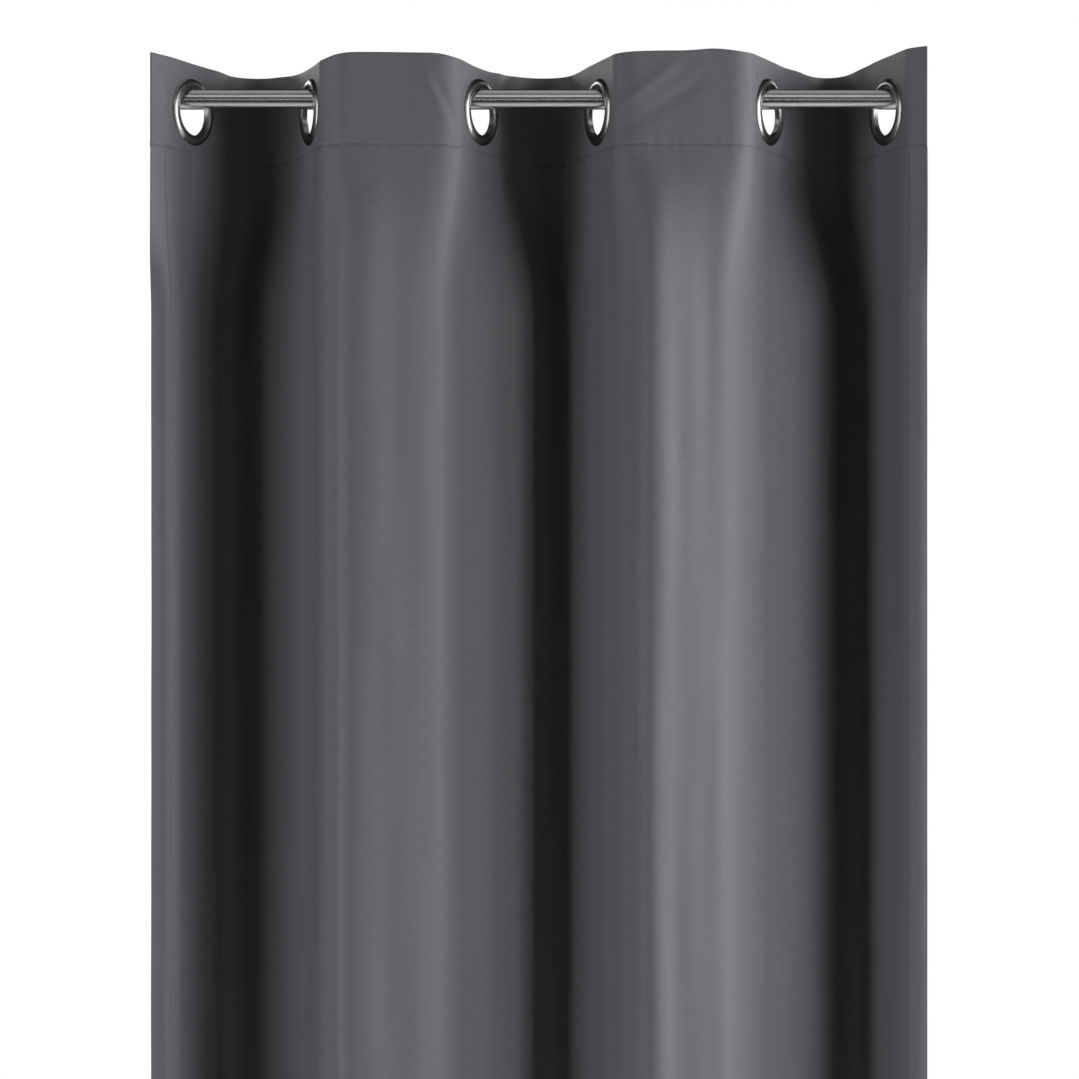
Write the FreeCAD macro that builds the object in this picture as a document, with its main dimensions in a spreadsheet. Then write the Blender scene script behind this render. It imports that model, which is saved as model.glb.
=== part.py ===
import FreeCAD, Part
import math
import os
import Sketcher

# A ready-made eyelet curtain panel, hung on its pole and half drawn, in mm.
# +X runs along the pole, -Y faces the room, and +Z is up.
# The origin is on the pole's axis, half way along it.

doc = FreeCAD.newDocument("eyelet_curtain")
sheet = doc.addObject("Spreadsheet::Sheet", "sizes")
SIZES = [
    ("eyelet_pitch", 213),      # flat distance between neighbouring eyelets
    ("side_margin", 60),        # flat distance from an end eyelet to the panel's side edge
    ("panel_drop", 1372),       # finished length, top edge to bottom edge
    ("bottom_hem_depth", 60),
    ("side_hem_width", 21),
    ("cloth_thickness", 0.8),
    ("stiffener_thickness", 0.4),
    ("top_margin", 16.5),       # top edge to an eyelet's rim
    ("header_margin", 6.5),     # an eyelet's rim to the header's stitch line
    ("eyelet_bore_radius", 22),
    ("eyelet_outer_radius", 31.5),
    ("barrel_wall", 1),
    ("flange_edge", 0.6),       # height of a flange's outer rim
    ("flange_lip", 1.4),        # height of a flange beside its bore
    ("flange_bulge", 2),        # rise of a flange's rounded face over the line from rim to bore
    ("barrel_lip", 1.1),        # how far the barrel enters the back ring
    ("ring_fit", 0.05),         # radial clearance of the back ring on the barrel
    ("eyelet_hole_slack", 0.3),  # radial clearance of the cloth's hole on the barrel
    ("pole_radius", 9.5),
    ("pole_wall", 1),
    ("pole_overrun", 20),       # pole beyond the centre of each end eyelet
    ("hanging_gap", 0.3),       # between the pole's top and an eyelet's bore
    ("lean_odd", 62),           # degrees from the pole's line, cloth going back to the right
    ("lean_even", 70),          # degrees from the pole's line, cloth coming forward
    ("ring_flat", 1),           # flat cloth beyond an eyelet's rim
    ("back_fold_radius", 28),
    ("shoulder_radius", 14),    # bend between an eyelet's flat and a front fold's face
    ("face_slope", 25),         # degrees, where a front fold's face leaves its shoulder
    ("edge_slope", 10),         # degrees, the side edges' last run
    ("section_gap", 0.4),       # between the cloth sections of neighbouring eyelets
    ("thread_height", 0.7),
    ("thread_proud", 0.25),
    ("hem_stitch_inset", 3),    # from a hem's inner edge to its stitch line
    ("label_width", 26),
    ("label_length", 42),
    ("label_thickness", 0.3),
    ("label_rise", 150),        # bottom edge to the care label
]
EYELETS = 6
for row, (alias, value) in enumerate(SIZES, start=1):
    sheet.set(f"A{row}", alias)
    sheet.set(f"B{row}", str(value))
    sheet.setAlias(f"B{row}", alias)
doc.recompute()
size = {alias: float(sheet.get(alias)) for alias, value in SIZES}
finished = []


def cell(alias):
    return f"<<{sheet.Label}>>.{alias}"


def finish(thing, name):
    """Give a sub-part the name that its node and its file carry."""
    thing.Label = name
    finished.append(thing)
    return thing


# ---- How the cloth folds -------------------------------------------------
# The cloth lies flat under each eyelet's rings and bends between them, back
# behind the pole and forward over it in turn. Its plan is straight lines and
# tangent arcs, and every fold uses the same flat length of cloth.

LEAN_ODD = math.radians(size["lean_odd"])
LEAN_EVEN = math.radians(size["lean_even"])
FACE = math.radians(size["face_slope"])
EDGE = math.radians(size["edge_slope"])
SHOULDER = size["shoulder_radius"]
BACK = size["back_fold_radius"]
FLAT = size["eyelet_outer_radius"] + size["ring_flat"]


def lean(number):
    """Heading of the cloth at an eyelet: positive goes back, negative comes forward."""
    return LEAN_ODD if number % 2 else -LEAN_EVEN


def back_fold():
    """Straight runs of a back fold, beside its odd and its even eyelet."""
    runs = size["eyelet_pitch"] - BACK * (LEAN_ODD + LEAN_EVEN)
    step = BACK * (math.cos(LEAN_ODD) - math.cos(LEAN_EVEN))
    odd = (runs * math.sin(LEAN_EVEN) + step) / (math.sin(LEAN_ODD) + math.sin(LEAN_EVEN))
    return odd, runs - odd


def front_fold():
    """Straight runs of a front fold, beside its odd and its even eyelet, and its face's radius."""
    depth = max(FLAT * math.sin(a) - SHOULDER * math.cos(a) for a in (LEAN_ODD, LEAN_EVEN))
    odd, even = ((depth + SHOULDER * math.cos(a)) / math.sin(a) for a in (LEAN_ODD, LEAN_EVEN))
    face = size["eyelet_pitch"] - odd - even - SHOULDER * (LEAN_ODD + LEAN_EVEN - 2 * FACE)
    return odd, even, face / (2 * FACE)


BACK_ODD, BACK_EVEN = back_fold()
FRONT_ODD, FRONT_EVEN, FACE_RADIUS = front_fold()


def at_edge(number, side):
    """Whether the panel's side edge, and no neighbour, is on that side of an eyelet."""
    return (number == 1 and side < 0) or (number == EYELETS and side > 0)


def half_fold(number, side):
    """(length, curvature) runs of the cloth from an eyelet out to one crest or side edge.

    side is -1 for the runs on the left of the eyelet, and 1 for those on its right.
    """
    odd = number % 2 == 1
    turn = abs(lean(number))
    goes_back = odd == (side > 0)
    if at_edge(number, side):
        bend = SHOULDER * (turn - EDGE)
        curvature = (-1 if goes_back else 1) / SHOULDER
        return [(FLAT, 0), (bend, curvature), (size["side_margin"] - FLAT - bend, 0)]
    if goes_back:
        return [(BACK_ODD if odd else BACK_EVEN, 0), (BACK * turn, -1 / BACK)]
    straight = FRONT_ODD if odd else FRONT_EVEN
    return [
        (straight, 0),
        (SHOULDER * (turn - FACE), 1 / SHOULDER),
        (FACE_RADIUS * FACE, 1 / FACE_RADIUS),
    ]


def advance(state, length, curvature):
    """Move along the cloth's plan by a signed length."""
    x, y, heading = state
    if curvature == 0:
        return x + length * math.cos(heading), y + length * math.sin(heading), heading
    turned = heading + curvature * length
    x += (math.sin(turned) - math.sin(heading)) / curvature
    y -= (math.cos(turned) - math.cos(heading)) / curvature
    return x, y, turned


def reach(number, side):
    """Flat length from an eyelet's centre to the end of its section on one side."""
    total = sum(length for length, curvature in half_fold(number, side))
    return total if at_edge(number, side) else total - size["section_gap"] / 2


def crest_offset(number, side):
    """X from an eyelet's centre to the crest on one side of it."""
    state = (0, 0, lean(number))
    for length, curvature in half_fold(number, side):
        state = advance(state, side * length, curvature)
    return state[0]


def eyelet_places():
    """X of each eyelet's centre, with the row of eyelets centred on the origin."""
    places = [0.0]
    for number in range(1, EYELETS):
        places.append(places[-1] + crest_offset(number, 1) - crest_offset(number + 1, -1))
    middle = places[-1] / 2
    return [place - middle for place in places]


PLACES = eyelet_places()
SHORTEST_RUN = 1e-6


def plan_spans(number, first, last):
    """([start, middle, end], curvature) of each run between two flat distances from an eyelet."""
    spans = []
    for side in (-1, 1):
        state = (PLACES[number - 1], 0.0, lean(number))
        gone = 0.0
        for length, curvature in half_fold(number, side):
            low, high = sorted((side * gone, side * (gone + length)))
            low, high = max(low, first), min(high, last)
            if high - low > SHORTEST_RUN:
                places = (low, (low + high) / 2, high)
                cuts = [advance(state, place - side * gone, curvature) for place in places]
                spans.append((low, cuts, curvature))
            state = advance(state, side * length, curvature)
            gone += length
    return [(cuts, curvature) for low, cuts, curvature in sorted(spans, key=lambda span: span[0])]


def beside(state, distance):
    """The point at a distance behind the cloth's middle surface."""
    x, y, heading = state
    return FreeCAD.Vector(x - distance * math.sin(heading), y + distance * math.cos(heading), 0)


def layer_profile(number, first, last, near, far):
    """Plan outline of one layer of cloth, between two distances behind the middle surface."""
    spans = plan_spans(number, first, last)
    edges = []
    for distance in (near, far):
        for (start, middle, end), curvature in spans:
            ends = beside(start, distance), beside(end, distance)
            if curvature == 0:
                edges.append(Part.LineSegment(*ends).toShape())
            else:
                edges.append(Part.Arc(ends[0], beside(middle, distance), ends[1]).toShape())
    for state in (spans[0][0][0], spans[-1][0][2]):
        edges.append(Part.LineSegment(beside(state, near), beside(state, far)).toShape())
    return Part.Face(Part.Wire(Part.__sortEdges__(edges)))


def hang_layer(name, number, first, last, near, far, foot, height):
    """Raise a layer's outline from its foot: both are expressions in the sheet's words."""
    outline = doc.addObject("Part::Feature", f"{name}_outline")
    outline.Shape = layer_profile(number, first, last, near, far)
    outline.setExpression(".Placement.Base.z", foot)
    raised = doc.addObject("Part::Extrusion", f"{name}_raised")
    raised.Base = outline
    raised.DirMode = "Custom"
    raised.Dir = FreeCAD.Vector(0, 0, 1)
    raised.Solid = True
    raised.setExpression("LengthFwd", height)
    return raised


# ---- Heights, each an expression in the sheet's words ---------------------

EYELET_LEVEL = f"({cell('pole_radius')} + {cell('hanging_gap')} - {cell('eyelet_bore_radius')})"
TOP = f"({EYELET_LEVEL} + {cell('eyelet_outer_radius')} + {cell('top_margin')})"
BOTTOM = f"({TOP} - {cell('panel_drop')})"
HEADER_DEPTH = f"({cell('top_margin')} + 2 * {cell('eyelet_outer_radius')} + {cell('header_margin')})"
HEADER_FOOT = f"({TOP} - {HEADER_DEPTH})"
HEM_TOP = f"({BOTTOM} + {cell('bottom_hem_depth')})"
CLOTH_FRONT = -size["cloth_thickness"] / 2
CLOTH_BACK = size["cloth_thickness"] / 2
FACING_NEAR = CLOTH_BACK + size["stiffener_thickness"]
FACING_FAR = FACING_NEAR + size["cloth_thickness"]
THREAD_FRONT = CLOTH_FRONT - size["thread_proud"]
PUNCH_REACH = 2 * FACING_FAR


def pierce(raised, name, number):
    """Cut the eyelet's hole through a layer, square to the cloth."""
    punch = doc.addObject("Part::Cylinder", f"{name}_punch")
    punch.setExpression(
        "Radius",
        f"{cell('eyelet_bore_radius')} + {cell('barrel_wall')} + {cell('eyelet_hole_slack')}",
    )
    punch.Height = 2 * PUNCH_REACH
    punch.Placement = eyelet_placement(number, -PUNCH_REACH)
    punch.setExpression(".Placement.Base.z", EYELET_LEVEL)
    cut = doc.addObject("Part::Cut", f"{name}_cut")
    cut.Base = raised
    cut.Tool = punch
    return cut


def eyelet_placement(number, lift):
    """Put local +Z on an eyelet's axis, out of the cloth's room side, raised by lift."""
    heading = lean(number)
    axis = FreeCAD.Vector(math.sin(heading), -math.cos(heading), 0)
    turn = FreeCAD.Rotation(FreeCAD.Vector(0, 0, 1), axis)
    return FreeCAD.Placement(FreeCAD.Vector(PLACES[number - 1], 0, 0) + axis * lift, turn)


# ---- The pole: a plain round steel tube with open ends --------------------

pole_outside = doc.addObject("Part::Cylinder", "pole_outside")
pole_inside = doc.addObject("Part::Cylinder", "pole_inside")
pole_outside.setExpression("Radius", cell("pole_radius"))
pole_inside.setExpression("Radius", f"{cell('pole_radius')} - {cell('pole_wall')}")
for tube in (pole_outside, pole_inside):
    tube.setExpression("Height", f"{2 * PLACES[-1]} + 2 * {cell('pole_overrun')}")
    along_x = FreeCAD.Rotation(FreeCAD.Vector(0, 1, 0), 90)
    tube.Placement = FreeCAD.Placement(FreeCAD.Vector(-PLACES[-1] - size["pole_overrun"], 0, 0), along_x)
pole = doc.addObject("Part::Cut", "pole_tube")
pole.Base = pole_outside
pole.Tool = pole_inside
finish(pole, "hanging_pole")


# ---- Eyelets: a front ring with a barrel, and a back ring clipped on it ----


def dome_edge(start, stop):
    """The round face of a flange, for a section drawn anticlockwise."""
    chord = stop - start
    outward = FreeCAD.Vector(chord.y, -chord.x, 0).normalize()
    return Part.Arc(start, (start + stop) / 2 + outward * size["flange_bulge"], stop)


def draw_section(sketch, corners, dome):
    """Draw a ring's section anticlockwise, each corner a (radius, height) pair of expressions.

    The edge from corner number dome to the next is a flange's round face.
    """
    points = [FreeCAD.Vector(evaluate(across), evaluate(up), 0) for across, up in corners]
    following = [(index + 1) % len(corners) for index in range(len(corners))]
    for index, start in enumerate(points):
        stop = points[following[index]]
        edge = dome_edge(start, stop) if index == dome else Part.LineSegment(start, stop)
        sketch.addGeometry(edge, False)
    for index, after in enumerate(following):
        sketch.addConstraint(Sketcher.Constraint("Coincident", index, 2, after, 1))
    for index, corner in enumerate(corners):
        for kind, text in zip(("DistanceX", "DistanceY"), corner):
            held = sketch.addConstraint(Sketcher.Constraint(kind, -1, 1, index, 1, evaluate(text)))
            sketch.setExpression(f"Constraints[{held}]", text)
    (across, up), (far_across, far_up) = corners[dome], corners[following[dome]]
    chord_squared = f"(({across}) - ({far_across}))^2 + (({up}) - ({far_up}))^2"
    radius = f"({chord_squared}) / (8 * {cell('flange_bulge')}) + {cell('flange_bulge')} / 2"
    held = sketch.addConstraint(Sketcher.Constraint("Radius", dome, evaluate(radius)))
    sketch.setExpression(f"Constraints[{held}]", radius)


def ring_body(name, number, corners, dome):
    """Revolve a ring's section about its bore, and put it in its eyelet's place."""
    body = doc.addObject("PartDesign::Body", f"{name}_body")
    plane = [part for part in body.Origin.OriginFeatures if part.Role == "XZ_Plane"][0]
    sketch = body.newObject("Sketcher::SketchObject", f"{name}_section")
    sketch.AttachmentSupport = (plane, [""])
    sketch.MapMode = "FlatFace"
    draw_section(sketch, corners, dome)
    ring = body.newObject("PartDesign::Revolution", f"{name}_turned")
    ring.Profile = sketch
    ring.ReferenceAxis = (sketch, ["V_Axis"])
    ring.Angle = 360
    body.Placement = eyelet_placement(number, 0)
    body.setExpression(".Placement.Base.z", EYELET_LEVEL)
    return finish(body, name)


def evaluate(text):
    """Value of an expression in the sheet's words."""
    return float(sheet.evalExpression(text))


BORE = cell("eyelet_bore_radius")
RIM = cell("eyelet_outer_radius")
BARREL = f"{BORE} + {cell('barrel_wall')}"
STACK_FRONT = f"{cell('cloth_thickness')} / 2"
STACK_BACK = f"0 - {cell('cloth_thickness')} * 1.5 - {cell('stiffener_thickness')}"


def make_eyelet(number):
    """A front ring, whose barrel goes through the cloth, and the back ring that holds it."""
    ring_body(
        f"eyelet_front_{number}",
        number,
        [
            (BORE, f"{STACK_BACK} - {cell('barrel_lip')}"),
            (BARREL, f"{STACK_BACK} - {cell('barrel_lip')}"),
            (BARREL, STACK_FRONT),
            (RIM, STACK_FRONT),
            (RIM, f"{STACK_FRONT} + {cell('flange_edge')}"),
            (BORE, f"{STACK_FRONT} + {cell('flange_lip')}"),
        ],
        4,
    )
    bore = f"{BARREL} + {cell('ring_fit')}"
    ring_body(
        f"eyelet_back_{number}",
        number,
        [
            (bore, STACK_BACK),
            (bore, f"{STACK_BACK} - {cell('flange_lip')}"),
            (RIM, f"{STACK_BACK} - {cell('flange_edge')}"),
            (RIM, STACK_BACK),
        ],
        1,
    )


# ---- The cloth and what is sewn to it, one section to each eyelet ----------


def make_section(number):
    """The cloth, header and bottom hem that hang from one eyelet."""
    left, right = -reach(number, -1), reach(number, 1)
    name = f"face_cloth_{number}"
    raised = hang_layer(name, number, left, right, CLOTH_FRONT, CLOTH_BACK, BOTTOM, cell("panel_drop"))
    finish(pierce(raised, name, number), name)
    name = f"header_stiffener_{number}"
    foot = f"{HEADER_FOOT} + {cell('hem_stitch_inset')}"
    height = f"{HEADER_DEPTH} - {cell('hem_stitch_inset')}"
    raised = hang_layer(name, number, left, right, CLOTH_BACK, FACING_NEAR, foot, height)
    finish(pierce(raised, name, number), name)
    name = f"header_facing_{number}"
    foot = f"{HEADER_FOOT} - {cell('hem_stitch_inset')}"
    height = f"{HEADER_DEPTH} + {cell('hem_stitch_inset')}"
    raised = hang_layer(name, number, left, right, FACING_NEAR, FACING_FAR, foot, height)
    finish(pierce(raised, name, number), name)
    height = cell("bottom_hem_depth")
    layers = (CLOTH_BACK, CLOTH_BACK + size["cloth_thickness"])
    name = f"bottom_hem_{number}"
    finish(hang_layer(name, number, left, right, *layers, BOTTOM, height), name)
    height = cell("thread_height")
    front = (THREAD_FRONT, CLOTH_FRONT)
    name = f"header_thread_{number}"
    finish(hang_layer(name, number, left, right, *front, HEADER_FOOT, height), name)
    name = f"hem_thread_{number}"
    foot = f"{HEM_TOP} - {cell('hem_stitch_inset')}"
    finish(hang_layer(name, number, left, right, *front, foot, height), name)


def make_side_hem(side_name, number, side):
    """The cloth turned back along one side edge, and the line of stitches that holds it."""
    edge = reach(number, side)
    hem = sorted((side * edge, side * (edge - size["side_hem_width"])))
    foot = HEM_TOP
    height = f"{cell('panel_drop')} - {cell('bottom_hem_depth')} - {HEADER_DEPTH}"
    height += f" - {cell('hem_stitch_inset')}"
    layers = (CLOTH_BACK, CLOTH_BACK + size["cloth_thickness"])
    name = f"side_hem_{side_name}"
    finish(hang_layer(name, number, *hem, *layers, foot, height), name)
    inner = edge - size["side_hem_width"] + size["hem_stitch_inset"]
    stitch = sorted((side * inner, side * (inner - size["thread_height"])))
    name = f"side_thread_{side_name}"
    finish(hang_layer(name, number, *stitch, THREAD_FRONT, CLOTH_FRONT, foot, height), name)


def make_care_label():
    """A blank woven label, sewn flat on the back of the left side hem."""
    edge = reach(1, -1)
    near = CLOTH_BACK + size["cloth_thickness"]
    foot = f"{BOTTOM} + {cell('label_rise')}"
    last = min(size["label_width"], size["side_hem_width"] - 2 * size["hem_stitch_inset"]) - edge
    span = (-edge + size["hem_stitch_inset"], last + size["hem_stitch_inset"])
    layers = (near, near + size["label_thickness"])
    finish(hang_layer("care_label", 1, *span, *layers, foot, cell("label_length")), "care_label")


for number in range(1, EYELETS + 1):
    make_eyelet(number)
    make_section(number)
make_side_hem("left", 1, -1)
make_side_hem("right", EYELETS, 1)
make_care_label()

# ---- Recompute, test and write ---------------------------------------------

doc.recompute()
for thing in doc.Objects:
    if "Invalid" in thing.State or "Error" in thing.State:
        raise RuntimeError(f"{thing.Label} did not compute: {thing.State}")
for thing in finished:
    if thing.Shape.isNull() or not thing.Shape.isValid() or thing.Shape.Volume <= 0:
        raise RuntimeError(f"{thing.Label} has no valid solid")
os.makedirs("parts", exist_ok=True)
for thing in finished:
    thing.Shape.exportStep(f"parts/{thing.Label}.step")
print(len(finished), "nodes; eyelets at", [round(place, 3) for place in PLACES])
print("straight runs", [round(run, 2) for run in (BACK_ODD, BACK_EVEN, FRONT_ODD, FRONT_EVEN)])
print("face radius", round(FACE_RADIUS, 1), "and eyelet level", round(evaluate(EYELET_LEVEL), 2))
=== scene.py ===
import math

import bpy
import numpy as np
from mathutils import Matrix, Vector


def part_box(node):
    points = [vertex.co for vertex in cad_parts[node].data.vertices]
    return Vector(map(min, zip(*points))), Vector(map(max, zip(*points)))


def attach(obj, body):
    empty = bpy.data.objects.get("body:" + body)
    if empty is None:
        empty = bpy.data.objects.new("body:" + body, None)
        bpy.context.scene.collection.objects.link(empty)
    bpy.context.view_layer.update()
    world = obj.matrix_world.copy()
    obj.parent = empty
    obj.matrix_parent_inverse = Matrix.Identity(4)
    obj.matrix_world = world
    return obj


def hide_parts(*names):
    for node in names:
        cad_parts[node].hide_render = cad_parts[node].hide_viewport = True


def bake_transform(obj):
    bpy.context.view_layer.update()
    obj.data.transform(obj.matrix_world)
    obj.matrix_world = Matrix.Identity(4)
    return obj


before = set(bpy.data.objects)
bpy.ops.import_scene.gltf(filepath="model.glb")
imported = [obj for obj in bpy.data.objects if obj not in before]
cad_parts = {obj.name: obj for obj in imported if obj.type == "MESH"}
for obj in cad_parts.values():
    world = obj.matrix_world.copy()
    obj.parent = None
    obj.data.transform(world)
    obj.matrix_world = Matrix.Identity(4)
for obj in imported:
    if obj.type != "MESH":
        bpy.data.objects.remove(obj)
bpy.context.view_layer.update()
bpy.ops.object.select_all(action="DESELECT")


# The hanging pole is a thin-walled steel tube, drawn and then brushed along its length
# under a clear lacquer. It rests in two brackets outside this part, and everything else
# hangs on it.


def new_finish(name, colour, roughness, **sockets):
    """A material with its even values on the shader's own sockets."""
    finish = bpy.data.materials.new(name)
    finish.use_nodes = True
    shader = finish.node_tree.nodes["Principled BSDF"]
    shader.inputs["Base Color"].default_value = (*colour, 1)
    shader.inputs["Roughness"].default_value = roughness
    for socket, value in sockets.items():
        shader.inputs[socket.replace("_", " ")].default_value = value
    return finish, shader


def add_node(finish, kind, **values):
    """A node in a material, with its properties and its inputs set by name."""
    made = finish.node_tree.nodes.new("ShaderNode" + kind)
    for key, value in values.items():
        if key in made.inputs:
            made.inputs[key].default_value = value
        else:
            setattr(made, key, value)
    return made


def join(finish, *chain):
    """Links nodes in a row: each (node, output) feeds the next (node, input)."""
    for (source, output), (target, socket) in chain:
        finish.node_tree.links.new(source.outputs[output], target.inputs[socket])


def spread(finish, source, shader, socket, low, high, span=(0.0, 1.0)):
    """Feeds a shader socket with a pattern, mapped from span to low and high."""
    ranged = add_node(finish, "MapRange")
    ranged.inputs["From Min"].default_value, ranged.inputs["From Max"].default_value = span
    ranged.inputs["To Min"].default_value = low
    ranged.inputs["To Max"].default_value = high
    join(finish, (source, (ranged, "Value")), ((ranged, "Result"), (shader, socket)))


def tint(finish, source, shader, dark, light, span=(0.3, 0.7)):
    """Colours a shader between two tones by a pattern."""
    ramp = add_node(finish, "ValToRGB")
    ramp.color_ramp.elements[0].position, ramp.color_ramp.elements[1].position = span
    ramp.color_ramp.elements[0].color = (*dark, 1)
    ramp.color_ramp.elements[1].color = (*light, 1)
    join(finish, (source, (ramp, "Fac")), ((ramp, "Color"), (shader, "Base Color")))


def emboss(finish, source, shader, depth, strength=1.0):
    """Raises a pattern by depth, in metres, on a shader's surface."""
    bump = add_node(finish, "Bump")
    bump.inputs["Strength"].default_value = strength
    bump.inputs["Distance"].default_value = depth
    join(finish, (source, (bump, "Height")), ((bump, "Normal"), (shader, "Normal")))


brushed_steel, shader = new_finish("brushed_steel", (0.55, 0.545, 0.54), 0.24, Metallic=1.0)
place = add_node(brushed_steel, "TexCoord")
along = add_node(brushed_steel, "Mapping")
along.inputs["Scale"].default_value = (9, 1100, 1100)
brushing = add_node(brushed_steel, "TexNoise", Scale=1.0, Detail=4.0, Roughness=0.65)
specks = add_node(brushed_steel, "TexNoise", Scale=1900.0, Detail=2.0, Roughness=0.5)
join(
    brushed_steel,
    ((place, "Object"), (along, "Vector")),
    ((along, "Vector"), (brushing, "Vector")),
    ((place, "Object"), (specks, "Vector")),
)
spread(brushed_steel, (brushing, "Fac"), shader, "Roughness", 0.16, 0.34)
tint(brushed_steel, (specks, "Fac"), shader, (0.44, 0.435, 0.43), (0.6, 0.595, 0.59))
emboss(brushed_steel, (brushing, "Fac"), shader, 0.000008, 0.12)

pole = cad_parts["hanging_pole"]
pole.data.materials.clear()
pole.data.materials.append(brushed_steel)


# Six two-part eyelets are pressed through the heading. Each is a front ring whose barrel
# goes through the cloth and a back ring clinched on it, rolled from brass sheet and
# plated in dark satin nickel.

satin_nickel, shader = new_finish("satin_nickel", (0.3, 0.295, 0.29), 0.27, Metallic=1.0)
place = add_node(satin_nickel, "TexCoord")
plating = add_node(satin_nickel, "TexNoise", Scale=90.0, Detail=3.0, Roughness=0.6)
grain = add_node(satin_nickel, "TexNoise", Scale=2600.0, Detail=2.0, Roughness=0.6)
join(
    satin_nickel,
    ((place, "Object"), (plating, "Vector")),
    ((place, "Object"), (grain, "Vector")),
)
spread(satin_nickel, (plating, "Fac"), shader, "Roughness", 0.25, 0.31)
tint(satin_nickel, (plating, "Fac"), shader, (0.28, 0.276, 0.272), (0.32, 0.315, 0.31))
emboss(satin_nickel, (grain, "Fac"), shader, 0.000004, 0.1)

EYELETS = 6
for eyelet in range(1, EYELETS + 1):
    for half in ("front", "back"):
        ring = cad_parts[f"eyelet_{half}_{eyelet}"]
        ring.data.materials.clear()
        ring.data.materials.append(satin_nickel)


# The panel is one width of dim-out satin, cut 1185 mm wide. Its top is turned down behind
# over a stiffener and its bottom turned up, and it hangs in folds that the eyelets set.
# It is modelled in pieces between neighbouring eyelets.

# The eyelets' places, lean and sizes, the gaps and the stitch lines are written out here as
# the CAD has them. The top, the bottom and the turnings are read from the frame.
PITCH, MARGIN = 0.213, 0.060
EYELET_X = (-0.32969, -0.217862, -0.055914, 0.055914, 0.217862, 0.32969)
EYELET_Z, FLANGE, HOLE = -0.0122, 0.0315, 0.0243
EYELET_FLAT = [MARGIN + PITCH * number for number in range(EYELETS)]
LEAN = np.radians([62, -70, 62, -70, 62, -70])
CLOTH, FACING_GAP, HEM_GAP = 0.00055, 0.0012, 0.0008
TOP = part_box("face_cloth_2")[1].z - CLOTH / 2
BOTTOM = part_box("face_cloth_2")[0].z + CLOTH / 2
FACING_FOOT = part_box("header_facing_2")[0].z
HEM_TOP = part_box("bottom_hem_2")[1].z
HEADER_STITCH, HEM_STITCH = -0.0499, -1.2789

FLAT_WIDTH = 1185  # the panel's own width before it is folded, in millimetres
flat = np.linspace(0, FLAT_WIDTH / 1000, FLAT_WIDTH + 1)
middle = (flat[1:] + flat[:-1]) / 2
# The way the cloth runs in degrees, 0 across the window and 90 straight back, every 15 mm
# of its flat width: in the heading at the eyelets, and in the free drop below them. Both
# lists come from fitting runs made outside this script, and were set by hand in places.
HEADING_TURN = (
    (48, 44, 62, 62, 62, 62, 62, 74, 73, 59, 24, -5, -24, -44, -58, -65, -70, -70, -70, -70)
    + (-70, -33, -20, -14, -6, 5, 17, 25, 26, 14, 50, 62, 62, 62, 62, 74, 76, 56, 28, 8)
    + (-8, -32, -60, -70, -73, -70, -70, -70, -70, -63, -27, -20, -12, -5, 2, 8, 18, 30, 41, 62)
    + (62, 62, 62, 62, 50, 54, 64, 50, 10, -46, -74, -70, -56, -70, -70, -70, -70, -70, -56, -38)
)
DROP_TURN = (
    (-9, 0, 75, 84, 80, 79, 70, 70, 76, 68, 4, -44, -46, -44, -30, -37, -45, -60, -69, -73)
    + (-62, -42, -48, 4, 26, 33, 30, 29, 32, 34, 58, 46, 38, 31, 20, 18, 53, 84, 84, 68)
    + (14, -38, -60, -56, -68, -76, -79, -68, -52, -53, -36, -10, 18, 28, 22, 24, 21, 30, 38, 40)
    + (36, 26, 24, 24, 30, 58, 80, 79, 52, 12, -58, -84, -83, -84, -82, -80, -79, -82, -26, 10)
)
# The course of the heading holds down to the first of these levels, and that of the drop
# from the second on. Two of the folds come forward between their eyelets, and run as the
# drop does from the first to the second of these distances from an eyelet's middle.
HEADING_FOOT, DROP_HEAD = -0.046, -0.21
FRONT_FOLDS, FRONT_FROM, FRONT_FULL = (1, 3), 0.036, 0.052
# Round an eyelet the cloth is held flat this far from its middle, and is free again from
# the next two distances: between two eyelets, and at the side margins.
HELD_FLAT, FOLD_FREE, EDGE_FREE = 0.033, 0.041, 0.05
# To close between its eyelets a fold gives way from the first of these shares of the pitch,
# from either end, and fully past the second.
GIVE_FROM, GIVE_FULL = 0.19, 0.35
# Slow waves of the hanging cloth: degrees, length along the flat width, climb and phase.
WAVES = ((1.1, 0.061, 0.9, 0.4), (0.9, 0.037, 1.7, 2.1), (0.5, 0.023, -2.6, 4.0))
# Where the two side edges hang, how far the left one draws out below the heading, and how
# far each eyelet's line of cloth swings from straight below its eyelet. The swings were
# fitted too.
EDGE_X, LEFT_DRAW = (-0.3606, 0.3602), 0.0023
SWING_X = np.array([-4.0, 0.5, -3.7, 0.4, 4.2, 2.6]) / 1000
SWING_Y = np.array([5.1, 5.3, -3.5, -3.5, -0.6, -2.7]) / 1000


def ease(start, stop, value):
    """0 on the near side of start and 1 past stop, smooth between them."""
    part = np.clip((value - start) / (stop - start), 0, 1)
    return part * part * (3 - 2 * part)


def soften(values, reach):
    """Rounds a run of values over reach, in millimetres."""
    window = np.exp(-0.5 * (np.arange(-4 * reach, 4 * reach + 1) / reach) ** 2)
    padded = np.pad(values, 4 * reach, mode="edge")
    return np.convolve(padded, window / window.sum(), "valid")


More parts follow.
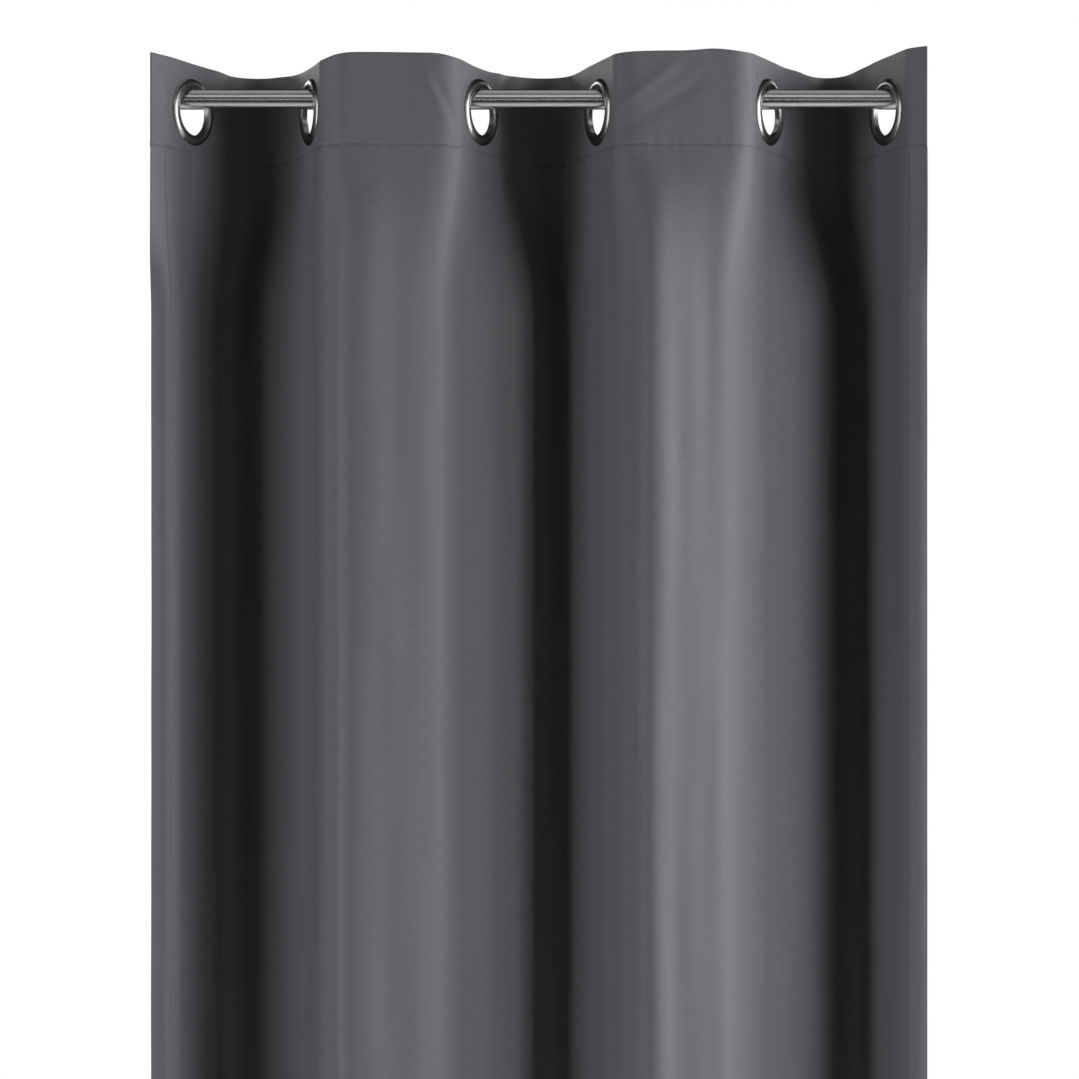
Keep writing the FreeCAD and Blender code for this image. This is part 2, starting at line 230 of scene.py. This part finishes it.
knots = np.minimum(np.arange(len(DROP_TURN)) * 0.015, FLAT_WIDTH / 1000)
heading_turn = soften(np.radians(np.interp(middle, knots, HEADING_TURN)), 5)
drop_turn = soften(np.radians(np.interp(middle, knots, DROP_TURN)), 5)
on_front = sum(
    ease(FRONT_FROM, FRONT_FULL, middle - EYELET_FLAT[fold])
    * ease(FRONT_FROM, FRONT_FULL, EYELET_FLAT[fold + 1] - middle)
    for fold in FRONT_FOLDS
)
heading_turn = heading_turn * (1 - on_front) + drop_turn * on_front
for line, lean in zip(EYELET_FLAT, LEAN):
    free = ease(HELD_FLAT, FOLD_FREE, np.abs(middle - line))
    heading_turn = heading_turn * free + lean * (1 - free)


def hang(levels):
    """The panel's course at each height: x, y and turn along its flat width.

    Each fold is closed between its two eyelets, and each side margin ends at its edge, by
    turning the cloth a little where it is free, over a few rounds.
    """
    levels = np.asarray(levels, float)[:, None]
    dropped = ease(HEADING_FOOT, DROP_HEAD, levels)
    turn = heading_turn * (1 - dropped) + drop_turn * dropped
    for size, length, climb, phase in WAVES:
        wave = np.sin(2 * math.pi * (middle / length + climb * levels) + phase)
        turn = turn + np.radians(size) * wave * np.maximum(dropped, on_front)
    x, y = np.zeros((2, len(levels), len(flat)))
    step = flat[1] - flat[0]
    knot = [int(round(line * 1000)) for line in EYELET_FLAT]
    at_x = np.array(EYELET_X) + dropped * SWING_X
    at_y = dropped * SWING_Y
    for fold in range(EYELETS - 1):
        span = slice(knot[fold], knot[fold + 1])
        part = (middle[span] - EYELET_FLAT[fold]) / PITCH
        give = ease(GIVE_FROM, GIVE_FULL, part) * ease(GIVE_FROM, GIVE_FULL, 1 - part)
        for _ in range(6):
            across, back = np.cos(turn[:, span]), np.sin(turn[:, span])
            miss_x = (at_x[:, fold + 1] - at_x[:, fold]) / step - across.sum(1)
            miss_y = (at_y[:, fold + 1] - at_y[:, fold]) / step - back.sum(1)
            a = (give * back * back).sum(1)
            b = (give * -back * across).sum(1)
            c = (give * across * across).sum(1)
            pull_x = (c * miss_x - b * miss_y) / (a * c - b * b)
            pull_y = (a * miss_y - b * miss_x) / (a * c - b * b)
            turn[:, span] += give * (across * pull_y[:, None] - back * pull_x[:, None])
    left_wide = at_x[:, 0] - EDGE_X[0] + LEFT_DRAW * dropped[:, 0]
    right_wide = EDGE_X[1] - at_x[:, -1]
    for span, line, wide in (
        (slice(0, knot[0]), EYELET_FLAT[0], left_wide),
        (slice(knot[-1], None), EYELET_FLAT[-1], right_wide),
    ):
        give = ease(HELD_FLAT, EDGE_FREE, np.abs(middle[span] - line))
        for _ in range(8):
            across, back = np.cos(turn[:, span]), np.sin(turn[:, span])
            over = across.sum(1) - wide / step
            turn[:, span] += give * back * (over / (give * back * back).sum(1))[:, None]
    x[:, 1:] = np.cumsum(np.cos(turn), 1) * step
    y[:, 1:] = np.cumsum(np.sin(turn), 1) * step
    x += at_x[:, :1] - x[:, knot[0]][:, None]
    y += at_y[:, :1] - y[:, knot[0]][:, None]
    at_points = np.pad(turn, ((0, 0), (1, 1)), mode="edge")
    return x, y, (at_points[:, 1:] + at_points[:, :-1]) / 2


# Drag lines in the heading, in millimetres: flat place and height of both ends, half
# width and how far the cloth stands out. They pull from the eyelets and the stitching.
DRAGS = (
    (733, -24, 800, 26, 5.0, 1.1),
    (748, -36, 822, 10, 6.0, -0.9),
    (868, 18, 874, -34, 3.5, 1.2),
    (880, 22, 886, -40, 3.0, -0.9),
    (948, -36, 962, -52, 2.6, -1.3),
    (940, -50, 966, -38, 2.6, -1.2),
    (956, -44, 958, -78, 3.0, -1.2),
    (306, -14, 330, -34, 3.0, 0.9),
    (304, -36, 334, -52, 3.0, -0.9),
    (424, 8, 446, -34, 4.0, -1.1),
    (412, 18, 434, -30, 4.0, 0.8),
    (520, -40, 548, -70, 4.0, -0.9),
    (640, -40, 668, -60, 4.0, -0.9),
    (14, 12, 30, -40, 4.5, 0.8),
    (104, -44, 140, -60, 4.0, -1.0),
    (205, -46, 236, -60, 3.0, 0.8),
    (1052, -30, 1086, -52, 3.5, -1.0),
    (1160, 10, 1176, -44, 4.0, 0.8),
)
# A drag line fades in from the first distance past its ends to the second inside them. The
# cloth lies flat up to the first distance past a flange and stands free from the second.
DRAG_PAST, DRAG_FULL = 0.012, 0.008
PRESSED_FLAT, PRESSED_FREE = 0.001, 0.014

# The cloth puckers along each seam and sinks under its stitches: how deep, how long or
# uneven, and how far above and below the seam. Elsewhere it swells a little.
PUCKER, PUCKER_LENGTH, PUCKER_REACH = 0.00042, 0.0115, 0.009
SINK, SINK_CHANGE, SINK_REACH = 0.0006, 0.00035, 0.0015
SWELL = 0.00035
# Three waves that don't keep step: across the panel, up it, and phase.
UNEVEN_WAVES = ((211, 0, 1.3), (131, 17, 4.1), (71, -29, 2.2))


def unevenness(width, height):
    """A slow wave between -1 and 1 that never repeats within the panel."""
    waves = (np.sin(width * across + height * up + phase) for across, up, phase in UNEVEN_WAVES)
    return sum(waves) / len(UNEVEN_WAVES)


def stand_out(width, height):
    """How far the cloth stands out to the room from its smooth course, in metres."""
    ripple = np.sin(width * 2 * math.pi / PUCKER_LENGTH + 3 * unevenness(width, height))
    out = 0
    for seam in (HEADER_STITCH, HEM_STITCH):
        away = height - seam
        pucker = ripple * np.exp(-((away / PUCKER_REACH) ** 2))
        out = out + PUCKER * pucker * (0.55 + 0.45 * unevenness(width, 0))
        sink = SINK + SINK_CHANGE * unevenness(width * 3, 0)
        out = out - sink * np.exp(-((away / SINK_REACH) ** 2))
    for start, level, stop, foot, half_width, rise in np.array(DRAGS) / 1000:
        length = math.hypot(stop - start, foot - level)
        along = ((width - start) * (stop - start) + (height - level) * (foot - level)) / length
        across = ((width - start) * (foot - level) - (height - level) * (stop - start)) / length
        fade = ease(-DRAG_PAST, DRAG_FULL, along) * ease(-DRAG_PAST, DRAG_FULL, length - along)
        out = out + rise * fade * np.exp(-((across / half_width) ** 2))
    out = out + SWELL * unevenness(width * 0.8, height * 1.5)
    for line in EYELET_FLAT:
        from_ring = np.hypot(width - line, height - EYELET_Z)
        out = out * ease(PRESSED_FLAT, PRESSED_FREE, from_ring - FLANGE)
    return out


# The height of the turned top edge over the flat width, both in millimetres.
EDGE_AT = (0, 90, 150, 190, 225, 265, 310, 330, 345, 425, 445, 480, 505, 535, 565, 740)
EDGE_AT += (770, 812, 835, 865, 905, 1000, 1040, 1060, 1095, 1145, 1185)
EDGE_LIFT = (-1, -2, 0, 0, -3.5, -6, -6, -1.5, 0, 0, -4, -6.5, -6.5, -3.5, 0, 0)
EDGE_LIFT += (1.3, 2, 4.5, 1.2, 1.5, 1.5, 1, 0.5, 4, 4.8, 5.3)
LIFT_FOOT = 0.0196  # the lift fades out down to this height, just above the eyelets' rims
edge_lift = soften(np.interp(flat * 1000, EDGE_AT, EDGE_LIFT) / 1000, 6)


def rows_between(start, stop, spacing):
    """Heights from start up to but not including stop."""
    count = max(1, int(round(abs(stop - start) / spacing)))
    return [start + (stop - start) * number / count for number in range(count)]


# The cloth's path from the facing's foot over the top edge, down the face and up behind as
# the hem: height, and distance behind the face. Its rows are closest at the header's seam.
face_turn, hem_turn = FACING_GAP / 2, HEM_GAP / 2
path = [(height, FACING_GAP) for height in rows_between(FACING_FOOT, TOP - face_turn, 0.0024)]
for quarter in np.linspace(0, math.pi, 7)[:-1]:
    path.append((TOP - face_turn * (1 - math.sin(quarter)), face_turn * (1 + math.cos(quarter))))
for start, stop, spacing in (
    (TOP - face_turn, -0.045, 0.0024),
    (-0.045, -0.055, 0.001),
    (-0.055, -0.075, 0.0024),
    (-0.075, -0.22, 0.004),
    (-0.22, -1.262, 0.0062),
    (-1.262, BOTTOM + hem_turn, 0.003),
):
    path += [(height, 0.0) for height in rows_between(start, stop, spacing)]
for quarter in np.linspace(0, math.pi, 5)[:-1]:
    path.append((BOTTOM + hem_turn * (1 - math.sin(quarter)), hem_turn * (1 - math.cos(quarter))))
path += [(height, HEM_GAP) for height in rows_between(BOTTOM + hem_turn, HEM_TOP, 0.004)]
path.append((HEM_TOP, HEM_GAP))
level, behind = np.array(path).T
course_x, course_y, course_turn = hang(level)
rise_and_depth = np.hypot(np.diff(level), np.diff(behind))
run = np.concatenate([[0], np.cumsum(rise_and_depth)])
puff = stand_out(flat[None, :], level[:, None])
lifted = level[:, None] + edge_lift * ease(LIFT_FOOT, TOP - face_turn, level)[:, None]


def cloth_point(row, column):
    """A point of the panel's mid-surface, by row of the path and flat millimetre."""
    turn, out = course_turn[row, column], behind[row] - puff[row, column]
    return (
        course_x[row, column] - np.sin(turn) * out,
        course_y[row, column] + np.cos(turn) * out,
        lifted[row, column],
    )


def build(name, points, faces, finish, uv=None):
    """A mesh object from points and faces, smooth, with its UVs in metres."""
    mesh = bpy.data.meshes.new(name)
    mesh.from_pydata([tuple(map(float, point)) for point in points], [], faces)
    if uv is not None:
        corner = np.zeros(len(mesh.loops), int)
        mesh.loops.foreach_get("vertex_index", corner)
        layer = mesh.uv_layers.new(name="cloth")
        layer.data.foreach_set("uv", np.asarray(uv, np.float32)[corner].ravel())
    mesh.materials.append(finish)
    piece = bpy.data.objects.new(name, mesh)
    bpy.context.scene.collection.objects.link(piece)
    return piece


def thicken(piece, thickness):
    """Gives a sheet its thickness, half to each side, and smooth faces with crisp edges."""
    bpy.ops.object.select_all(action="DESELECT")
    piece.select_set(True)
    bpy.context.view_layer.objects.active = piece
    wall = piece.modifiers.new("cloth thickness", "SOLIDIFY")
    wall.thickness, wall.offset = thickness, 0
    bpy.ops.object.modifier_apply(modifier=wall.name)
    bpy.ops.object.shade_smooth_by_angle(angle=math.radians(50))


dimout, shader = new_finish(
    "dimout_satin",
    (0.117, 0.122, 0.132),
    0.56,
    Sheen_Weight=0.12,
    Sheen_Roughness=0.45,
    Specular_IOR_Level=0.35,
)
place = add_node(dimout, "UVMap", uv_map="cloth")
slub_scale = add_node(dimout, "Mapping")
slub_scale.inputs["Scale"].default_value = (70, 900, 1)
slubs = add_node(dimout, "TexNoise", Scale=1.0, Detail=3.0, Roughness=0.55)
tone_scale = add_node(dimout, "Mapping")
tone_scale.inputs["Scale"].default_value = (26, 1.6, 1)
tones = add_node(dimout, "TexNoise", Scale=1.0, Detail=2.0, Roughness=0.5)
warp = add_node(dimout, "TexWave", Scale=320.0, Distortion=0.6, Detail=1.0)
weft = add_node(dimout, "TexWave", bands_direction="Y", Scale=260.0, Distortion=0.6, Detail=1.0)
crossing = add_node(dimout, "Math", operation="MULTIPLY")
threads = add_node(dimout, "Math", operation="MULTIPLY_ADD")
threads.inputs[1].default_value = 0.9
mixed = add_node(dimout, "Math", operation="MULTIPLY_ADD")
mixed.inputs[1].default_value = 0.55
join(
    dimout,
    ((place, "UV"), (slub_scale, "Vector")),
    ((slub_scale, "Vector"), (slubs, "Vector")),
    ((place, "UV"), (tone_scale, "Vector")),
    ((tone_scale, "Vector"), (tones, "Vector")),
    ((place, "UV"), (warp, "Vector")),
    ((place, "UV"), (weft, "Vector")),
    ((warp, "Fac"), (crossing, 0)),
    ((weft, "Fac"), (crossing, 1)),
    ((slubs, "Fac"), (threads, 0)),
    ((crossing, "Value"), (threads, 2)),
    ((tones, "Fac"), (mixed, 0)),
    ((slubs, "Fac"), (mixed, 2)),
)
tint(dimout, (mixed, "Value"), shader, (0.104, 0.1085, 0.118), (0.129, 0.1345, 0.146), (0.55, 1.0))
spread(dimout, (slubs, "Fac"), shader, "Roughness", 0.5, 0.62, (0.3, 0.7))
emboss(dimout, (threads, "Value"), shader, 0.00012, 0.5)


COLUMN = 3  # flat millimetres between the columns of the cloth's mesh
# Points this near the rim of an eyelet's hole, inside it or outside, are drawn onto it.
RIM_INSIDE, RIM_OUTSIDE = 0.0017, 0.0019


def weave(name, first, last):
    """The panel's cloth between two flat millimetres, cut out round the eyelet barrels."""
    columns = np.arange(first, last + 1, COLUMN)
    grid_row, grid_column = np.meshgrid(np.arange(len(level)), columns, indexing="ij")
    x, y, z = cloth_point(grid_row, grid_column)
    width = flat[grid_column].copy()
    open_at = np.zeros(width.shape, bool)
    for line, lean in zip(EYELET_FLAT, LEAN):
        side, up = width - line, z - EYELET_Z
        apart = np.maximum(np.hypot(side, up), 1e-6)
        near = (apart > HOLE - RIM_INSIDE) & (apart < HOLE + RIM_OUTSIDE)
        move = np.where(near, HOLE / apart - 1, 0)
        x, y = x + side * move * math.cos(lean), y + side * move * math.sin(lean)
        z, width = z + up * move, width + side * move
        open_at |= apart < HOLE - RIM_INSIDE
    number = np.arange(width.size).reshape(width.shape)
    keep = ~(open_at[:-1, :-1] | open_at[1:, :-1] | open_at[1:, 1:] | open_at[:-1, 1:])
    corners = [number[:-1, :-1], number[1:, :-1], number[1:, 1:], number[:-1, 1:]]
    faces = np.stack([corner[keep] for corner in corners], 1)
    used, faces = np.unique(faces, return_inverse=True)
    points = np.stack([x.ravel(), y.ravel(), z.ravel()], 1)[used]
    uv = np.stack([width.ravel(), np.broadcast_to(run[:, None], width.shape).ravel()], 1)[used]
    piece = build(name, points, faces.reshape(-1, 4).tolist(), dimout, uv)
    thicken(piece, CLOTH)
    return piece


def hang_between(piece, fold):
    """Hangs a side piece on its section, and keeps a piece between two eyelets where it is built.
    """
    if fold in (0, EYELETS):
        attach(piece, f"section_{max(fold, 1)}")
        return
    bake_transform(piece)


def sections_beside(fold):
    """The numbers of the sections that a fold lies on: two, or one at the panel's sides."""
    return sorted({max(fold, 1), min(fold + 1, EYELETS)})


cuts = [0, *[int(round(line * 1000)) for line in EYELET_FLAT], FLAT_WIDTH]
for fold in range(EYELETS + 1):
    named = {0: "panel_edge_left", EYELETS: "panel_edge_right"}.get(fold, f"panel_fold_{fold}")
    piece = weave(named, cuts[fold], cuts[fold + 1])
    for layer in ("face_cloth", "header_stiffener", "header_facing", "bottom_hem"):
        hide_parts(*[f"{layer}_{section}" for section in sections_beside(fold)])
    hang_between(piece, fold)


# The heading and the hem are closed with one row of lockstitch in matching polyester
# thread, about 3 mm to a stitch, which shows on both faces of the panel.

thread, shader = new_finish("polyester_thread", (0.05, 0.052, 0.057), 0.5)
place = add_node(thread, "TexCoord")
twist = add_node(thread, "TexNoise", Scale=2400.0, Detail=2.0)
join(thread, ((place, "Object"), (twist, "Vector")))
tint(thread, (twist, "Fac"), shader, (0.038, 0.04, 0.044), (0.064, 0.066, 0.072))
emboss(thread, (twist, "Fac"), shader, 0.00006, 0.6)

STITCH, STITCH_GAP, THREAD = 0.0027, 0.0003, 0.0005
PROUD = 0.2  # share of the thread's width that its middle stands out of the cloth
bpy.ops.object.select_all(action="DESELECT")
bpy.ops.mesh.primitive_uv_sphere_add(segments=6, ring_count=4, radius=1)
one_stitch = bpy.context.active_object
stitch_points = np.array([vertex.co for vertex in one_stitch.data.vertices])[:, [2, 0, 1]]
stitch_points = stitch_points * (STITCH / 2, THREAD / 2, THREAD / 2)
stitch_faces = [list(polygon.vertices) for polygon in one_stitch.data.polygons]
bpy.data.objects.remove(one_stitch)


def sew(name, places, along, out):
    """One row of stitches: a copy of the stitch at each place, laid along the seam."""
    points, faces = [], []
    for spot, forward, away in zip(places, along, out):
        side = np.cross(away, forward)
        first = len(points) * len(stitch_points)
        faces += [[corner + first for corner in face] for face in stitch_faces]
        points.append(spot + stitch_points @ np.array([forward, side, away]))
    piece = build(name, np.concatenate(points), faces, thread)
    bpy.ops.object.select_all(action="DESELECT")
    piece.select_set(True)
    bpy.context.view_layer.objects.active = piece
    bpy.ops.object.shade_smooth()
    return piece


def stitch_row(name, height, first, last, back):
    """Stitches across the panel at one height, on both of its faces."""
    x, y, turn = (course[0] for course in hang([height]))
    out_at = stand_out(flat, height)
    count = max(1, int((last - first) / (STITCH + STITCH_GAP)))
    centre = first + (np.arange(count) + 0.5) * (last - first) / count
    spots, along, away = [], [], []
    for side, depth in ((1, CLOTH / 2), (-1, -back - CLOTH / 2)):
        turned = np.interp(centre, flat, turn)
        room = np.stack([np.sin(turned), -np.cos(turned), 0 * turned], 1)
        spot_x, spot_y = np.interp(centre, flat, x), np.interp(centre, flat, y)
        spot = np.stack([spot_x, spot_y, 0 * centre + height], 1)
        out = np.interp(centre, flat, out_at) + depth + side * THREAD * PROUD
        spots.append(spot + room * out[:, None])
        along.append(np.stack([np.cos(turned), np.sin(turned), 0 * turned], 1))
        away.append(room * side)
    return sew(name, np.concatenate(spots), np.concatenate(along), np.concatenate(away))


stitching = [[] for _ in range(EYELETS + 1)]
for seam, height, back, replaced in (
    ("header_stitching", HEADER_STITCH, FACING_GAP, "header_thread"),
    ("hem_stitching", HEM_STITCH, HEM_GAP, "hem_thread"),
):
    for fold in range(EYELETS + 1):
        first, last = cuts[fold] / 1000, cuts[fold + 1] / 1000
        row = stitch_row(f"{seam}_{fold + 1}", height, first, last, back)
        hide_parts(*[f"{replaced}_{section}" for section in sections_beside(fold)])
        hang_between(row, fold)
        stitching[fold].append(row)


# The two side edges are turned back 21 mm and sewn down with one row of stitches, from
# the heading's foot to the hem's top.

# The hem's depth and its seam's place from the edge are in millimetres, and its flat width
# with the turn in metres. Its weave is read from a strip past the panel's own width.
SIDE_HEM, SIDE_STITCH, SIDE_CUT, SIDE_UV = 21, 18, 0.022, 1.3
side_levels = np.array([z for z, depth in path if depth == 0 and HEM_TOP < z < FACING_FOOT])
side_levels = np.concatenate([[FACING_FOOT], side_levels, [HEM_TOP]])
side_x, side_y, side_turn = hang(side_levels)
side_puff = stand_out(flat[None, :], side_levels[:, None])
for name, edge, inward, section in (("left", 0, 1, 1), ("right", FLAT_WIDTH, -1, EYELETS)):
    wrap = []
    for bend in np.linspace(0, math.pi, 5):
        wrap.append((edge, hem_turn * (1 - math.cos(bend)), hem_turn * math.sin(bend)))
    wrap += [(edge + inward * far, HEM_GAP, 0) for far in range(COLUMN, SIDE_HEM + 1, COLUMN)]
    points, uv = [], []
    for count, (column, depth, beyond) in enumerate(wrap):
        turn, out = side_turn[:, column], depth - side_puff[:, column]
        hem_x = side_x[:, column] - np.sin(turn) * out - inward * np.cos(turn) * beyond
        hem_y = side_y[:, column] + np.cos(turn) * out - inward * np.sin(turn) * beyond
        points.append(np.stack([hem_x, hem_y, side_levels], 1))
        across = np.full(len(side_levels), SIDE_UV + COLUMN / 1000 * count)
        uv.append(np.stack([across, -side_levels], 1))
    rows = len(side_levels)
    quads = [
        [a * rows + b, a * rows + b + 1, (a + 1) * rows + b + 1, (a + 1) * rows + b][:: -inward]
        for a in range(len(wrap) - 1)
        for b in range(rows - 1)
    ]
    hem = build(f"turned_edge_{name}", np.concatenate(points), quads, dimout, np.concatenate(uv))
    thicken(hem, CLOTH)
    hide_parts(f"side_hem_{name}")
    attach(hem, f"section_{section}")

    count = int((FACING_FOOT - HEM_TOP) / (STITCH + STITCH_GAP))
    height = FACING_FOOT + (np.arange(count) + 0.5) * (HEM_TOP - FACING_FOOT) / count
    column = edge + inward * SIDE_STITCH
    spots, along, away = [], [], []
    for side, depth in ((1, CLOTH / 2), (-1, -HEM_GAP - CLOTH / 2)):
        spot_x, spot_y, turned, out = (
            np.interp(-height, -side_levels, values[:, column])
            for values in (side_x, side_y, side_turn, side_puff)
        )
        room = np.stack([np.sin(turned), -np.cos(turned), 0 * height], 1)
        spot = np.stack([spot_x, spot_y, height], 1)
        spots.append(spot + room * (out + depth + side * THREAD * PROUD)[:, None])
        along.append(np.tile((0.0, 0.0, 1.0), (count, 1)))
        away.append(room * side)
    spots, along, away = (np.concatenate(part) for part in (spots, along, away))
    row = sew(f"side_stitching_{name}", spots, along, away)
    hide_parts(f"side_thread_{name}")
    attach(row, f"section_{section}")


# A blank care label of white woven satin ribbon is folded once and caught in the left
# side hem's stitching, low on the back of the panel.

label_satin, shader = new_finish("label_satin", (0.72, 0.71, 0.69), 0.42, Sheen_Weight=0.3)
place = add_node(label_satin, "UVMap", uv_map="cloth")
ribs = add_node(label_satin, "TexWave", bands_direction="Y", Scale=700.0, Distortion=0.5)
wear = add_node(label_satin, "TexNoise", Scale=220.0, Detail=2.0)
join(label_satin, ((place, "UV"), (ribs, "Vector")), ((place, "UV"), (wear, "Vector")))
tint(label_satin, (wear, "Fac"), shader, (0.66, 0.65, 0.63), (0.76, 0.75, 0.73))
emboss(label_satin, (ribs, "Fac"), shader, 0.00005, 0.5)

low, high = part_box("care_label")
# The ribbon lies between two flat millimetres of the cloth, this far behind its middle,
# and curls away along its open edge.
LABEL_FIRST, LABEL_LAST, LABEL_OUT, LABEL_CURL = 3, 18, 0.00142, 0.0008
LABEL_ROWS, RIBBON = 15, 0.0003
label_levels = np.linspace(high.z, low.z, LABEL_ROWS)
label_x, label_y, label_turn = hang(label_levels)
label_puff = stand_out(flat[None, :], label_levels[:, None])
label_bow = LABEL_CURL * np.sin(np.linspace(0, math.pi, LABEL_ROWS))
points, uv = [], []
for column in range(LABEL_FIRST, LABEL_LAST + 1):
    lift = label_bow * ease(LABEL_FIRST + 4, LABEL_FIRST, column)
    turn, out = label_turn[:, column], LABEL_OUT - label_puff[:, column] + lift
    ribbon_x = label_x[:, column] - np.sin(turn) * out
    ribbon_y = label_y[:, column] + np.cos(turn) * out
    points.append(np.stack([ribbon_x, ribbon_y, label_levels], 1))
    uv.append(np.stack([np.full(LABEL_ROWS, column / 1000), label_levels], 1))
quads = [
    [a + b, a + LABEL_ROWS + b, a + LABEL_ROWS + b + 1, a + b + 1]
    for a in range(0, (LABEL_LAST - LABEL_FIRST) * LABEL_ROWS, LABEL_ROWS)
    for b in range(LABEL_ROWS - 1)
]
label = build("care_label_ribbon", np.concatenate(points), quads, label_satin, np.concatenate(uv))
thicken(label, RIBBON)
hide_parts("care_label")
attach(label, "section_1")


# The studio: a pale floor under the hem, a plain white surround, and soft boxes to both
# sides of the panel that graze its folds. The camera stands level in front.

floor_finish, shader = new_finish("studio_floor", (0.82, 0.82, 0.81), 0.7)
bpy.ops.object.select_all(action="DESELECT")
bpy.ops.mesh.primitive_plane_add(size=1, location=(0, 0, -1.42))
floor = bpy.context.active_object
floor.name = "studio_floor"
floor.scale = (3.4, 2.6, 1)
floor.data.materials.append(floor_finish)

surround = bpy.data.worlds.new("studio")
bpy.context.scene.world = surround
surround.use_nodes = True
tree = surround.node_tree
tree.nodes.clear()
seen = tree.nodes.new("ShaderNodeLightPath")
white, dim = tree.nodes.new("ShaderNodeBackground"), tree.nodes.new("ShaderNodeBackground")
white.inputs["Color"].default_value, dim.inputs["Color"].default_value = (1, 1, 1, 1), (1, 1, 1, 1)
white.inputs["Strength"].default_value, dim.inputs["Strength"].default_value = 1.0, 0.006
either = tree.nodes.new("ShaderNodeMixShader")
world_out = tree.nodes.new("ShaderNodeOutputWorld")
tree.links.new(seen.outputs["Is Camera Ray"], either.inputs["Fac"])
tree.links.new(dim.outputs[0], either.inputs[1])
tree.links.new(white.outputs[0], either.inputs[2])
tree.links.new(either.outputs[0], world_out.inputs["Surface"])

# Each soft box stands upright: its bearing from straight ahead in degrees, and its power.
# All stand at one distance and height, turned to the panel. Most of the powers started
# from a fitting run made outside this script and were then set by hand. One more box
# hangs overhead.
BOX_AWAY, BOX_HEIGHT, BOX_SIZE = 2.4, -0.28, (0.5, 2.4)
SOFT_BOXES = (
    (-88, 13.0),
    (-60, 15.0),
    (-48, 12.0),
    (-34, 0.8),
    (34, 3.0),
    (48, 9.5),
    (60, 18.0),
    (70, 10.5),
    (80, 37.0),
    (88, 12.0),
    (145, 26.0),
    (-145, 26.0),
)
# Strips in front, a wide panel overhead and one on the floor are flagged off the cloth and
# draw the bright lines along the pole and the eyelets: height, depth, width and power.
STRIPS = (
    (1.1, -1.9, 0.8, 4.6),
    (2.0, 0.1, 1.6, 4.6),
    (-0.38, -2.2, 0.14, 1.5),
    (-1.39, -0.1, 0.8, 2.0),
)


def hang_lamp(name, place, turn, size, power):
    """An area lamp that lights the object and isn't seen itself."""
    lamp = bpy.data.lights.new(name, "AREA")
    lamp.shape, lamp.energy = "RECTANGLE", power
    lamp.size, lamp.size_y = size
    box = bpy.data.objects.new(name, lamp)
    box.location, box.rotation_euler = place, turn
    box.visible_camera = False
    bpy.context.scene.collection.objects.link(box)
    return box


for number, (bearing, power) in enumerate(SOFT_BOXES, 1):
    angle = math.radians(bearing)
    place = (BOX_AWAY * math.sin(angle), -BOX_AWAY * math.cos(angle), BOX_HEIGHT)
    hang_lamp(f"soft_box_{number}", place, (math.radians(90), 0, angle), BOX_SIZE, power)

hang_lamp("top_box", (0, -0.9, 1.6), (math.radians(30), 0, 0), (2.4, 0.8), 1.5)

metalwork = bpy.data.collections.new("metalwork")
metalwork.objects.link(pole)
for eyelet in range(1, EYELETS + 1):
    metalwork.objects.link(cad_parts[f"eyelet_front_{eyelet}"])
    metalwork.objects.link(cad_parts[f"eyelet_back_{eyelet}"])
for number, (height, depth, tall, power) in enumerate(STRIPS, 1):
    tip = math.atan2(-depth, height)
    strip = hang_lamp(f"strip_{number}", (0, depth, height), (tip, 0, 0), (1.8, tall), power)
    strip.light_linking.receiver_collection = metalwork

view = bpy.data.cameras.new("camera")
view.sensor_width, view.lens = 36, 80.07
view.clip_end = 30
camera = bpy.data.objects.new("camera", view)
camera.location = (0, -2.28, -0.418)
camera.rotation_euler = (math.radians(90), 0, 0)
bpy.context.scene.collection.objects.link(camera)
bpy.context.scene.camera = camera
bpy.context.scene.view_settings.view_transform = "Standard"
